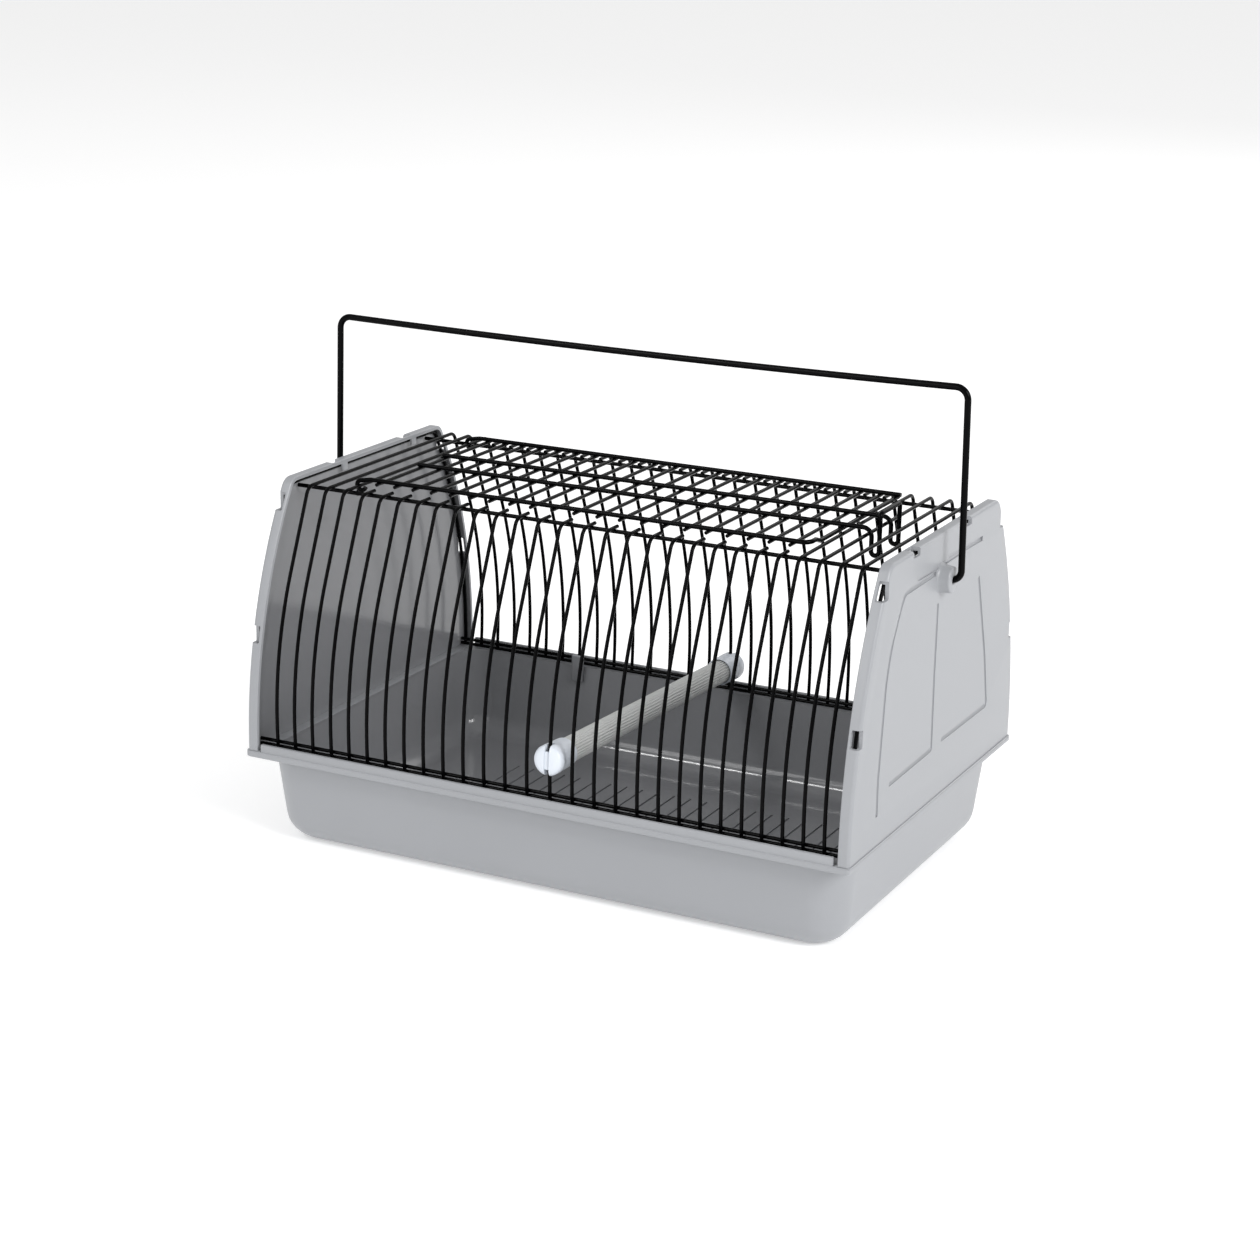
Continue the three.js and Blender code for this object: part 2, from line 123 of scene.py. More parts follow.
class Socket:
    """A node output with arithmetic."""

    def __init__(self, net: Net, raw: bpy.types.NodeSocket) -> None:
        """Args:
            net: the tree it belongs to.
            raw: the output it stands for.
        """
        self.net = net
        self.raw = raw

    def maths(self, operation: str, *others: Number) -> "Socket":
        """Returns a Math node's result with this socket as its first input."""
        inputs: dict[Any, Any] = {0: self}
        inputs.update({i + 1: other for i, other in enumerate(others)})
        return self.net.out("ShaderNodeMath", {"operation": operation}, inputs)

    def __add__(self, other: Number) -> "Socket":
        """Returns the sum."""
        return self.maths("ADD", other)

    __radd__ = __add__

    def __sub__(self, other: Number) -> "Socket":
        """Returns the difference."""
        return self.maths("SUBTRACT", other)

    def __mul__(self, other: Number) -> "Socket":
        """Returns the product."""
        return self.maths("MULTIPLY", other)

    __rmul__ = __mul__

    def __truediv__(self, other: Number) -> "Socket":
        """Returns the quotient."""
        return self.maths("DIVIDE", other)


# ---- finishes -------------------------------------------------------------------------------


@dataclass(frozen=True)
class Finish:
    """A moulded or coated surface with a little life in its colour, gloss and relief."""

    name: str
    colour: tuple[float, float, float]
    roughness: float
    mottle: float = 0.03
    mottle_scale: float = 18.0
    gloss_spread: float = 0.06
    grain: float = 0.00002
    grain_scale: float = 900.0
    coat: float = 0.0
    specular: float = 0.5
    metallic: float = 0.0

    def material(self) -> bpy.types.Material:
        """Builds the material.

        Returns:
            The new material, reading Object coordinates only.
        """
        made = bpy.data.materials.new(self.name)
        made.use_nodes = True
        made.node_tree.nodes.clear()
        net = Net(made.node_tree)
        place = net.out("ShaderNodeTexCoord", output="Object")
        patches = net.out("ShaderNodeTexNoise", {}, {
            "Vector": place, "Scale": self.mottle_scale, "Detail": 3.0,
        })
        fine = net.out("ShaderNodeTexNoise", {}, {"Vector": place, "Scale": self.grain_scale, "Detail": 2.0})
        dark = tuple(c * (1.0 - self.mottle) for c in self.colour) + (1.0,)
        light = tuple(min(1.0, c * (1.0 + self.mottle)) for c in self.colour) + (1.0,)
        colour = net.out("ShaderNodeMix", {"data_type": "RGBA"}, {0: patches, 6: dark, 7: light}, output=2)
        rough = (patches - 0.5) * self.gloss_spread + self.roughness
        bump = net.out("ShaderNodeBump", {}, {"Strength": 0.5, "Distance": self.grain, "Height": fine})
        shader = net.node("ShaderNodeBsdfPrincipled", {}, {
            "Base Color": colour, "Roughness": rough, "Normal": bump,
            "Metallic": self.metallic, "Specular IOR Level": self.specular,
            "Coat Weight": self.coat, "Coat Roughness": 0.12,
        })
        net.node("ShaderNodeOutputMaterial", {}, {"Surface": shader.outputs[0]})
        return made


BODY_PLASTIC = Finish("body_plastic", (0.3, 0.308, 0.325), 0.36)
# A darker copy of the body grey for the inner faces: painted shade inside the tray and the end panels.
SHADED_INSIDE_PLASTIC = Finish("inside_painted_shade", (0.25, 0.254, 0.266), 0.12,
                       mottle=0.05, mottle_scale=9.0, gloss_spread=0.04)
BLACK_WIRE = Finish("black_wire", (0.0008, 0.0008, 0.001), 0.2, mottle=0.2, grain=0.00003, specular=0.06)
PERCH_PLASTIC = Finish("perch_plastic", (0.56, 0.57, 0.56), 0.5)
CLIP_PLASTIC = Finish("clip_plastic", (0.64, 0.68, 0.74), 0.35, mottle=0.015)


@dataclass(frozen=True)
class StageFinish:
    """The pale floor, which glows a little so that it stays white."""

    name: str = "stage_white"
    shade: float = 0.93
    glow: float = 0.32

    def material(self) -> bpy.types.Material:
        """Builds the material."""
        made = bpy.data.materials.new(self.name)
        made.use_nodes = True
        shader = made.node_tree.nodes["Principled BSDF"]
        tint = (self.shade, self.shade, self.shade, 1.0)
        shader.inputs["Base Color"].default_value = tint
        shader.inputs["Roughness"].default_value = 0.95
        shader.inputs["Specular IOR Level"].default_value = 0.1
        shader.inputs["Emission Color"].default_value = tint
        shader.inputs["Emission Strength"].default_value = self.glow
        return made


# ---- shared mesh building -------------------------------------------------------------------


def new_object(name: str, mesh: bpy.types.Mesh) -> bpy.types.Object:
    """Returns a new object for the mesh, linked to the scene."""
    made = bpy.data.objects.new(name, mesh)
    bpy.context.scene.collection.objects.link(made)
    return made


def drop(*objects: bpy.types.Object) -> None:
    """Removes helper objects."""
    for thing in objects:
        bpy.data.objects.remove(thing, do_unlink=True)


def applied(thing: bpy.types.Object) -> bpy.types.Mesh:
    """Returns the object's mesh with its modifiers applied."""
    graph = bpy.context.evaluated_depsgraph_get()
    graph.update()
    return bpy.data.meshes.new_from_object(thing.evaluated_get(graph), depsgraph=graph)


def soften(mesh: bpy.types.Mesh, degrees: float = 38.0) -> None:
    """Shades a mesh smooth except over edges sharper than the angle."""
    mesh.shade_smooth()
    mesh.set_sharp_from_angle(angle=math.radians(degrees))


class Builder:
    """Collects closed shells, in millimetres, into one mesh in metres."""

    def __init__(self) -> None:
        """Starts an empty collection."""
        self.bm = bmesh.new()

    def loft(self, rings: Sequence[Sequence[Vector]], ends: bool = True, loop: bool = False) -> "Builder":
        """Skins a row of rings that all have the same number of points.

        Args:
            rings: the rings, each a closed run of points.
            ends: whether the first and the last ring are closed by a face.
            loop: whether the last ring joins the first.

        Returns:
            This builder.
        """
        rows = [[self.bm.verts.new(p * MM) for p in ring] for ring in rings]
        pairs = list(zip(rows, rows[1:]))
        if loop:
            pairs.append((rows[-1], rows[0]))
        for a, b in pairs:
            for i in range(len(a)):
                j = (i + 1) % len(a)
                self.bm.faces.new((a[i], a[j], b[j], b[i]))
        if ends and not loop:
            self.bm.faces.new(list(reversed(rows[0])))
            self.bm.faces.new(rows[-1])
        return self

    def box(self, low: Sequence[float], high: Sequence[float],
            round_by: float = 0.0, steps: int = 2) -> "Builder":
        """Adds a block between two corners, with its edges rounded where asked."""
        made = bmesh.ops.create_cube(self.bm, size=1.0)["verts"]
        middle = [(a + b) / 2 for a, b in zip(low, high)]
        size = [b - a for a, b in zip(low, high)]
        bmesh.ops.scale(self.bm, vec=Vector(size) * MM, verts=made)
        bmesh.ops.translate(self.bm, vec=Vector(middle) * MM, verts=made)
        if round_by:
            edges = list({e for v in made for e in v.link_edges})
            bmesh.ops.bevel(self.bm, geom=edges, offset=round_by * MM, segments=steps,
                            profile=0.5, affect="EDGES")
        return self

    def lathe(self, profile: Sequence[Point2], turn: Matrix, steps: int = 48) -> "Builder":
        """Turns a closed profile about an axis.

        Args:
            profile: (radius, height) points; radius 0 closes an end.
            turn: places the profile's +Z axis and origin, in millimetres.
            steps: how many sides.

        Returns:
            This builder.
        """
        rings = []
        for radius, height in profile:
            ring = [Vector((radius * math.cos(a), radius * math.sin(a), height))
                    for a in (2 * math.pi * i / steps for i in range(steps))]
            rings.append([turn @ p for p in ring])
        tube = profile[0] == profile[-1]
        return self.loft(rings[:-1] if tube else rings, loop=tube)

    def mesh(self, name: str) -> bpy.types.Mesh:
        """Ends the collection.

        Args:
            name: the mesh's name.

        Returns:
            The mesh, its faces pointing out.
        """
        bmesh.ops.remove_doubles(self.bm, verts=self.bm.verts, dist=1e-6)
        bmesh.ops.recalc_face_normals(self.bm, faces=self.bm.faces)
        made = bpy.data.meshes.new(name)
        self.bm.to_mesh(made)
        self.bm.free()
        return made


def join(name: str, meshes: Sequence[bpy.types.Mesh]) -> bpy.types.Mesh:
    """Returns one mesh holding all the given ones."""
    bm = bmesh.new()
    for part in meshes:
        bm.from_mesh(part)
    made = bpy.data.meshes.new(name)
    bm.to_mesh(made)
    bm.free()
    return made


def cut(body: bpy.types.Mesh, cutters: Sequence[bpy.types.Mesh], name: str) -> bpy.types.Mesh:
    """Cuts shapes out of a solid, one after another.

    Args:
        body: the solid.
        cutters: what is taken away.
        name: the result's name.

    Returns:
        The cut mesh.
    """
    thing = new_object("cut_body", body)
    tools = []
    for i, cutter in enumerate(cutters):
        tools.append(new_object(f"cutter_{i}", cutter))
        step = thing.modifiers.new(f"cut_{i}", "BOOLEAN")
        step.operation = "DIFFERENCE"
        step.solver = "EXACT"
        step.object = tools[-1]
    made = applied(thing)
    made.name = name
    drop(thing, *tools)
    return made


def rounded_rectangle(half_x: float, half_y: float, radius: float, z: float, steps: int = 10) -> list[Vector]:
    """Returns a ring of points round a rectangle with round corners."""
    ring = []
    centres = ((1, -1, -90), (1, 1, 0), (-1, 1, 90), (-1, -1, 180))
    for sx, sy, start in centres:
        for i in range(steps + 1):
            a = math.radians(start + 90 * i / steps)
            x = sx * (half_x - radius) + radius * math.cos(a)
            y = sy * (half_y - radius) + radius * math.sin(a)
            ring.append(Vector((x, y, z)))
    return ring


def rounded_path(corners: Sequence[tuple[Vector, float]], steps: int = 8) -> list[Vector]:
    """Returns a path through corners, each given with its bend radius (0 keeps the point).

    Args:
        corners: the points and their radii, in millimetres.
        steps: how many straight runs make one bend.

    Returns:
        The path's points.
    """
    path: list[Vector] = []
    for i, (point, radius) in enumerate(corners):
        if radius == 0 or i in (0, len(corners) - 1):
            path.append(point.copy())
            continue
        inward = (point - corners[i - 1][0]).normalized()
        outward = (corners[i + 1][0] - point).normalized()
        turn = inward.angle(outward)
        start = point - inward * radius * math.tan(turn / 2)
        side = (outward - inward * inward.dot(outward)).normalized()
        centre = start + side * radius
        for k in range(steps + 1):
            a = turn * k / steps
            path.append(centre - side * radius * math.cos(a) + inward * radius * math.sin(a))
    return [p for i, p in enumerate(path) if i == 0 or (p - path[i - 1]).length > 0.02]


# ---- geometry node trees --------------------------------------------------------------------


class Tree:
    """A geometry node tree with named inputs that starts from an object's own mesh."""

    def __init__(self, name: str, inputs: dict[str, tuple[str, Any]]) -> None:
        """Args:
            name: the tree's name.
            inputs: input name to (socket type, default value).
        """
        self.tree = bpy.data.node_groups.new(name, "GeometryNodeTree")
        face = self.tree.interface
        face.new_socket("Geometry", in_out="INPUT", socket_type="NodeSocketGeometry")
        self.ids: dict[str, str] = {}
        for label, (kind, value) in inputs.items():
            item = face.new_socket(label, in_out="INPUT", socket_type=kind)
            if value is not None:
                item.default_value = value
            self.ids[label] = item.identifier
        face.new_socket("Geometry", in_out="OUTPUT", socket_type="NodeSocketGeometry")
        self.net = Net(self.tree)
        self.entry = self.net.node("NodeGroupInput")

    def given(self, label: str) -> Socket:
        """Returns the named input."""
        return Socket(self.net, self.entry.outputs[label])

    def end(self, shape: Socket) -> None:
        """Closes the tree with Realize Instances and Set Material."""
        real = self.net.out("GeometryNodeRealizeInstances", {}, {"Geometry": shape})
        dressed = self.net.out("GeometryNodeSetMaterial", {}, {
            "Geometry": real, "Material": self.given("Material"),
        })
        self.net.node("NodeGroupOutput", {}, {"Geometry": dressed})

    def run(self, name: str, start: bpy.types.Mesh, values: dict[str, Any]) -> bpy.types.Mesh:
        """Runs the tree on a starting mesh.

        Args:
            name: the result's name.
            start: the mesh the tree begins with.
            values: input name to value.

        Returns:
            The finished plain mesh.
        """
        thing = new_object(f"{name}_source", start)
        step = thing.modifiers.new("nodes", "NODES")
        step.node_group = self.tree
        for label, value in values.items():
            step[self.ids[label]] = value
        made = applied(thing)
        made.name = name
        drop(thing)
        return made


def swept(net: Net, line: Socket, radius: Socket, sides: Socket) -> Socket:
    """Returns the runs of edges made round wires with flat ends."""
    curve = net.out("GeometryNodeMeshToCurve", {}, {"Mesh": line})
    ring = net.out("GeometryNodeCurvePrimitiveCircle", {"mode": "RADIUS"}, {
        "Resolution": sides, "Radius": radius,
    })
    return net.out("GeometryNodeCurveToMesh", {}, {"Curve": curve, "Profile Curve": ring, "Fill Caps": True})


def wire_tree() -> Tree:
    """Returns the tree that turns runs of edges into round wires."""
    tree = Tree("bent_wires", {
        "Radius": ("NodeSocketFloat", 0.001), "Sides": ("NodeSocketInt", 16),
        "Material": ("NodeSocketMaterial", None),
    })
    tree.end(swept(tree.net, tree.given("Geometry"), tree.given("Radius"), tree.given("Sides")))
    return tree


def bar_row_tree() -> Tree:
    """Returns the tree that repeats one bent bar along X at the cage's own spacing."""
    tree = Tree("bar_row", {
        "Radius": ("NodeSocketFloat", 0.001), "Sides": ("NodeSocketInt", 16),
        "Count": ("NodeSocketInt", 21), "First": ("NodeSocketFloat", 3.0),
        "Middle": ("NodeSocketFloat", 13.5), "Pitch": ("NodeSocketFloat", 0.01),
        "Spread": ("NodeSocketFloat", 0.003), "Spread Span": ("NodeSocketFloat", 12.5),
        "Spread Power": ("NodeSocketFloat", 0.8), "Material": ("NodeSocketMaterial", None),
    })
    net = tree.net
    bar = swept(net, tree.given("Geometry"), tree.given("Radius"), tree.given("Sides"))
    number = net.out("GeometryNodeInputIndex")
    offset = number + tree.given("First") - tree.given("Middle")
    away = offset.maths("ABSOLUTE")
    share = (away / tree.given("Spread Span")).maths("POWER", tree.given("Spread Power"))
    lean = (share * math.pi).maths("SINE") * tree.given("Spread")
    x = offset.maths("SIGN") * (away * tree.given("Pitch") + lean)
    place = net.out("ShaderNodeCombineXYZ", {}, {"X": x})
    row = net.out("GeometryNodeMeshLine", {}, {"Count": tree.given("Count"), "Offset": (0.0, 0.0, 0.0)})
    spots = net.out("GeometryNodeSetPosition", {}, {"Geometry": row, "Position": place})
    tree.end(net.out("GeometryNodeInstanceOnPoints", {}, {"Points": spots, "Instance": bar}))
    return tree


def run_of_edges(name: str, paths: Sequence[Sequence[Vector]]) -> bpy.types.Mesh:
    """Returns a mesh of loose edges along the paths, which are in millimetres."""
    points: list[Vector] = []
    edges: list[tuple[int, int]] = []
    for path in paths:
        first = len(points)
        points.extend(p * MM for p in path)
        edges.extend((i, i + 1) for i in range(first, len(points) - 1))
    made = bpy.data.meshes.new(name)
    made.from_pydata(points, edges, [])
    return made


class Workshop:
    """Holds the shared node trees and materials, and hands finished pieces to the frame."""

    def __init__(self) -> None:
        """Builds the trees and the materials once."""
        self.wires = wire_tree()
        self.rows = bar_row_tree()
        finishes = (BODY_PLASTIC, SHADED_INSIDE_PLASTIC, BLACK_WIRE, PERCH_PLASTIC, CLIP_PLASTIC)
        self.materials = {f.name: f.material() for f in finishes}

    def bend(self, name: str, paths: Sequence[Sequence[Vector]], radius: float,
             sides: int = 16) -> bpy.types.Mesh:
        """Returns black wires of the radius along the paths, both in millimetres."""
        values = {"Radius": radius * MM, "Sides": sides, "Material": self.materials[BLACK_WIRE.name]}
        return self.wires.run(name, run_of_edges(name, paths), values)

    def row(self, name: str, path: Sequence[Vector], radius: float, cage: "BarSpacing") -> bpy.types.Mesh:
        """Returns the short bars: one path at X 0 repeated at the cage's spacing."""
        values = {
            "Radius": radius * MM, "Sides": 12, "Count": cage.last_short - cage.first_short + 1,
            "First": float(cage.first_short), "Middle": cage.middle, "Pitch": cage.pitch * MM,
            "Spread": cage.spread * MM, "Spread Span": cage.spread_span, "Spread Power": cage.spread_power,
            "Material": self.materials[BLACK_WIRE.name],
        }
        return self.rows.run(name, run_of_edges(name, [path]), values)

    def hand_over(self, name: str, mesh: bpy.types.Mesh, body: str, nodes: Sequence[str],
                  finishes: Sequence[Finish] = ()) -> bpy.types.Object:
        """Makes a piece of a mesh and ties it to its body.

        Args:
            name: the piece's name.
            mesh: its finished mesh.
            body: the CAD body it rides on.
            nodes: the CAD nodes it stands for.
            finishes: its materials in slot order; left out where the mesh already has them.

        Returns:
            The piece.
        """
        soften(mesh)
        piece = new_object(name, mesh)
        if finishes:
            marks = [f.material_index for f in mesh.polygons]
            mesh.materials.clear()
            for finish in finishes:
                mesh.materials.append(self.materials[finish.name])
            mesh.polygons.foreach_set("material_index", marks)
        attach(piece, body)
        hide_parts(*nodes)
        log.info("%s: %d faces", name, len(mesh.polygons))
        return piece


# ---- tray -----------------------------------------------------------------------------------


@dataclass
class Tray:
    """The drafted tub, its rim, its lips and its snap lugs."""

    half_x: float = 145.3
    half_y: float = 93.5
    corner: float = 16.0
    base_round: float = 12.0
    draft: float = 0.1
    wall: float = 2.0
    ledge: float = 42.4
    shelf: float = 45.3
    lip_top: float = 49.1
    lip_half_x: float = 142.8
    rim_half_x: float = 150.5
    rim_half_y: float = 100.0
    lip_half_y: float = 99.4
    lip_thickness: float = 1.9
    end_shelf_half_y: float = 98.9
    end_shelf_rise: float = 0.3
    lug_x: float = 77.5
    lug_half: float = 3.15
    lug_y: Point2 = (88.6, 90.7)
    lug_root_y: Point2 = (89.2, 92.5)
    lug_z: Point2 = (38.0, 51.5)
    groove_pitch: float = 8.73
    groove_shift: float = -1.9
    groove_count: int = 22
    groove_reach: float = 50.0

    def section(self, inset: float, bottom: float, base_round: float) -> list[list[Vector]]:
        """Returns rings up one skin of the tub, inset by a wall or by nothing."""
        rings = []
        steps = 8
        for i in range(steps + 1):
            a = math.radians(90 * i / steps)
            z = bottom + base_round * (1 - math.cos(a))
            rings.append(self.ring(inset + base_round * (1 - math.sin(a)), inset, z))
        for z in (bottom + base_round + 10, self.ledge - 6, self.shelf):
            rings.append(self.ring(inset, inset, z))
        return rings

    def ring(self, inset: float, skin: float, z: float) -> list[Vector]:
        """Returns the tub's outline at a height, drawn in by an inset."""
        lean = self.draft * (self.ledge - z)
        radius = max(self.corner - skin - 0.85 * (inset - skin), 2.0)
        return rounded_rectangle(self.half_x - lean - inset, self.half_y - lean - inset, radius, z)

    def tub(self, builder: Builder) -> None:
        """Adds the tub as one closed skin, outside and inside."""
        outside = self.section(0.0, 0.0, self.base_round)
        inside = self.section(self.wall, self.wall, self.base_round - self.wall)
        builder.loft(outside + list(reversed(inside)))

    def rim(self, builder: Builder) -> None:
        """Adds the flat rim round the tub, with its edge softened."""
        soft = 0.5
        rings = []
        edges = ((soft, self.ledge), (0.0, self.ledge + soft), (0.0, self.shelf - soft), (soft, self.shelf))
        for inset, z in edges:
            rings.append(rounded_rectangle(self.rim_half_x - inset, self.rim_half_y - inset, 1.5, z))
        skin = self.wall / 2
        for z in (self.shelf - 0.02, self.ledge):
            rings.append(self.ring(skin, skin, z))
        builder.loft(rings, loop=True)

    def lips(self, builder: Builder) -> None:
        """Adds the raised lips along the front and the back."""
        for face in Face:
            outer = face.value * self.lip_half_y
            inner = face.value * (self.lip_half_y - self.lip_thickness)
            low, high = min(inner, outer), max(inner, outer)
            builder.box((-self.lip_half_x, low, self.shelf - 1), (self.lip_half_x, high, self.lip_top), 0.45)
        for side in Side:
            edge = side.value * self.rim_half_x
            inner = side.value * (self.lip_half_x + 0.5)
            low, high = min(inner, edge), max(inner, edge)
            reach, top = self.end_shelf_half_y, self.shelf + self.end_shelf_rise
            builder.box((low, -reach, self.shelf - 1), (high, reach, top), 0.12)

    def lugs(self, builder: Builder) -> None:
        """Adds the two snap lugs inside the back edge."""
        for side in Side:
            x = side.value * self.lug_x
            low, high = x - self.lug_half, x + self.lug_half
            builder.box((low, self.lug_y[0], self.lug_z[0]), (high, self.lug_y[1], self.lug_z[1]), 0.5)
            builder.box((low, self.lug_root_y[0], self.lug_z[0]), (high, self.lug_root_y[1], self.ledge), 0.3)

    def grooves(self) -> bpy.types.Mesh:
        """Returns the cutter for the fine drain grooves across the floor."""
        cutter = Builder()
        for k in range(self.groove_count):
            x = self.groove_pitch * (k - (self.groove_count - 2) / 2) + self.groove_shift
            cutter.box((x - 0.55, -self.groove_reach, self.wall - 0.7),
                       (x + 0.55, self.groove_reach, self.wall + 1))
        return cutter.mesh("groove_cutter")

    def build(self, shop: Workshop) -> None:
        """Builds the tray and hands it over."""
        tub = Builder()
        self.tub(tub)
        grooved = cut(tub.mesh("tub"), [self.grooves()], "tub_grooved")
        extras = Builder()
        self.rim(extras)
        self.lips(extras)
        self.lugs(extras)
        mesh = join("tray_shell", [grooved, extras.mesh("tray_extras")])
        self.mark_painted_shade(mesh)
        shop.hand_over("tray_shell", mesh, "tray", ["tray"], (BODY_PLASTIC, SHADED_INSIDE_PLASTIC))

    def mark_painted_shade(self, mesh: bpy.types.Mesh) -> None:
        """Gives the tub's inner skin the darker finish: painted shade inside the tray."""
        for face in mesh.polygons:
            middle = face.center / MM
            inward = Vector((middle.x, middle.y, 0)).dot(face.normal) < -1e-3 or face.normal.z > 0.6
            inner_x = self.half_x - 1.0 - self.draft * (self.ledge - middle.z)
            inner_y = self.half_y - 1.0 - self.draft * (self.ledge - middle.z)
            within = abs(middle.x) < inner_x and abs(middle.y) < inner_y and middle.z < self.shelf - 0.01
            face.material_index = int(bool(inward and within))


# ---- end panels -----------------------------------------------------------------------------


@dataclass
class EndPanel:
    """A moulded end: a curved pan with a flange, windows, a pivot boss and pressed lines."""

    side: Side
    half_length: float = 150.0
    bottom: float = 45.9
    top: float = 168.2
    half_y: float = 99.2
    upright: float = 4.1
    side_radius: float = 228.0
    fillet: float = 7.0
    plate: float = 1.7
    web: float = 1.8
    depth: float = 5.3
    edge_round: float = 1.6
    boss_y: float = -5.0
    boss_z: float = 148.0
    boss_radius: float = 5.9
    boss_length: float = 5.3
    bore: float = 1.8
    line_radius: float = 1.2
    line_stand_off: float = 0.1
    pocket_depth: float = 0.55
    window_z: tuple[float, float] = (99.8, 158.0)
    window_half: float = 4.0
    top_window_half: float = 4.2
    window_reach: float = 3.4
    tab_width: float = 4.0
    tab_z: Point2 = (5.4, 1.0)
    seat: float = 45.62

    def outline(self, inset: float, bottom: Optional[float] = None) -> list[Point2]:
        """Returns the (y, z) outline, drawn in by an inset except at the bottom."""
        low, top = self.bottom, self.top - inset
        radius, fillet = self.side_radius - inset, self.fillet - inset
        centre = self.half_y - self.side_radius
        arc_z = low + self.upright
        fillet_z = top - fillet
        fillet_y = centre + math.sqrt((radius - fillet) ** 2 - (fillet_z - arc_z) ** 2)
        meet = math.atan2(fillet_z - arc_z, fillet_y - centre)
        half = [(centre + radius, low if bottom is None else bottom)]
        half += [(centre + radius * math.cos(meet * i / 24), arc_z + radius * math.sin(meet * i / 24))
                 for i in range(25)]
        for i in range(1, 9):
            a = meet + (math.pi / 2 - meet) * i / 8
            half.append((fillet_y + fillet * math.cos(a), fillet_z + fillet * math.sin(a)))
        return half + [(-y, z) for y, z in reversed(half)]

    def slab(self, layers: Sequence[Point2], bottom: Optional[float] = None) -> bpy.types.Mesh:
        """Returns a solid through (x, inset) layers of the outline."""
        rings = [[Vector((x, y, z)) for y, z in self.outline(inset, bottom)] for x, inset in layers]
        return Builder().loft(rings).mesh("panel_slab")

    def edge_y(self, z: float) -> float:
        """Returns the outline's half depth at a height."""
        centre = self.half_y - self.side_radius
        return centre + math.sqrt(self.side_radius ** 2 - (z - self.bottom - self.upright) ** 2)

    def windows(self) -> bpy.types.Mesh:
        """Returns the cutter for the windows that show the edge hoop."""
        inner, outer = self.half_length - 4, self.half_length + 1
        soft, past = 0.5, 12.0
        cutter = Builder()
        for z in self.window_z:
            low, high = z - self.window_half, z + self.window_half
            reach = self.edge_y(z) - self.window_reach
            cutter.box((inner, reach, low), (outer, reach + past, high), soft)
            cutter.box((inner, -reach - past, low), (outer, -reach, high), soft)
        half, sill = self.top_window_half, self.top - self.window_reach
        for y in self.top_window_y():
            cutter.box((inner - 0.8, y - half, sill), (outer, y + half, self.top + 3), soft)
        return cutter.mesh("window_cutter")

    def tabs(self) -> bpy.types.Mesh:
        """Returns the small tabs that hang inside the flange beside the top windows."""
        holder = Builder()
        inner = self.half_length - self.depth
        low, high = self.tab_z
        for y in self.top_window_y():
            near = y + self.top_window_half
            far = near + self.tab_width
            holder.box((inner + 0.05, near, self.top - low), (inner + 1.3, far, self.top - high), 0.3)
        return holder.mesh("snap_tabs")

    def top_window_y(self) -> tuple[float, float]:
        """Returns the middles of the two top windows."""
        return (-36.5, 25.0) if self.side is Side.RIGHT else (-27.5, 35.0)

    def line_paths(self) -> list[list[Vector]]:
        """Returns the pressed lines on the outer face, as paths in Y and Z."""
        frame_line = [(-70.4, 59), (-70.8, 75), (-66.6, 117), (-62.2, 132),
                      (-52.9, 147.5), (-48.7, 152), (-13, 152.2)]
        inner_line = [(-57.4, 69.6), (-7.6, 70.3), (-8.7, 103.7), (-8.8, 137.6)]
        far_line = [(4.7, 71.2), (63.3, 70.8), (57.1, 96.3), (42.8, 137.2)]
        upper = [(3.0, 155.6), (45.0, 154.6)]
        bends = {0: [0, 8, 40, 40, 14, 5, 0], 1: [0, 1.2, 20, 0], 2: [0, 1.5, 60, 0], 3: [0, 0]}
        x = self.half_length + self.line_stand_off
        paths = []
        for number, line in enumerate((frame_line, inner_line, far_line, upper)):
            corners = [(Vector((x, y, z)), r) for (y, z), r in zip(line, bends[number])]
            paths.append(rounded_path(corners, 5))
        return paths

    def pocket(self) -> bpy.types.Mesh:
        """Returns the cutter for the shallow pocket over the boss."""
        points: list[Point2] = [(-24.0, 153.6), (20.0, 153.6), (20.0, 171.0), (-40.5, 171.0)]
        for i in range(9):
            a = math.radians(195 + 85 * i / 8)
            points.append((-31.5 + 10 * math.cos(a), 163.6 + 10 * math.sin(a)))
        rings = [[Vector((x, y, z)) for y, z in points]
                 for x in (self.half_length - self.pocket_depth, self.half_length + 1)]
        return Builder().loft(rings).mesh("pocket_cutter")

    def across(self, x: float) -> Matrix:
        """Returns the placing that turns a lathe onto the boss's axis, starting at x."""
        place = Matrix.Translation((x, self.boss_y, self.boss_z))
        return place @ Matrix.Rotation(math.pi / 2, 4, "Y")

    def boss(self) -> bpy.types.Mesh:
        """Returns the pivot boss, a ring with a bore."""
        turn = self.across(self.half_length)
        r, h = self.boss_radius, self.boss_length
        profile = [(self.bore, -self.plate), (r + 1.6, -0.6), (r + 0.9, 0.25), (r + 0.35, 0.9), (r, h - 0.9),
                   (r - 0.3, h - 0.3), (r - 0.9, h), (self.bore + 0.3, h), (self.bore, h - 0.3),
                   (self.bore, -self.plate)]
        return Builder().lathe(profile, turn).mesh("boss")

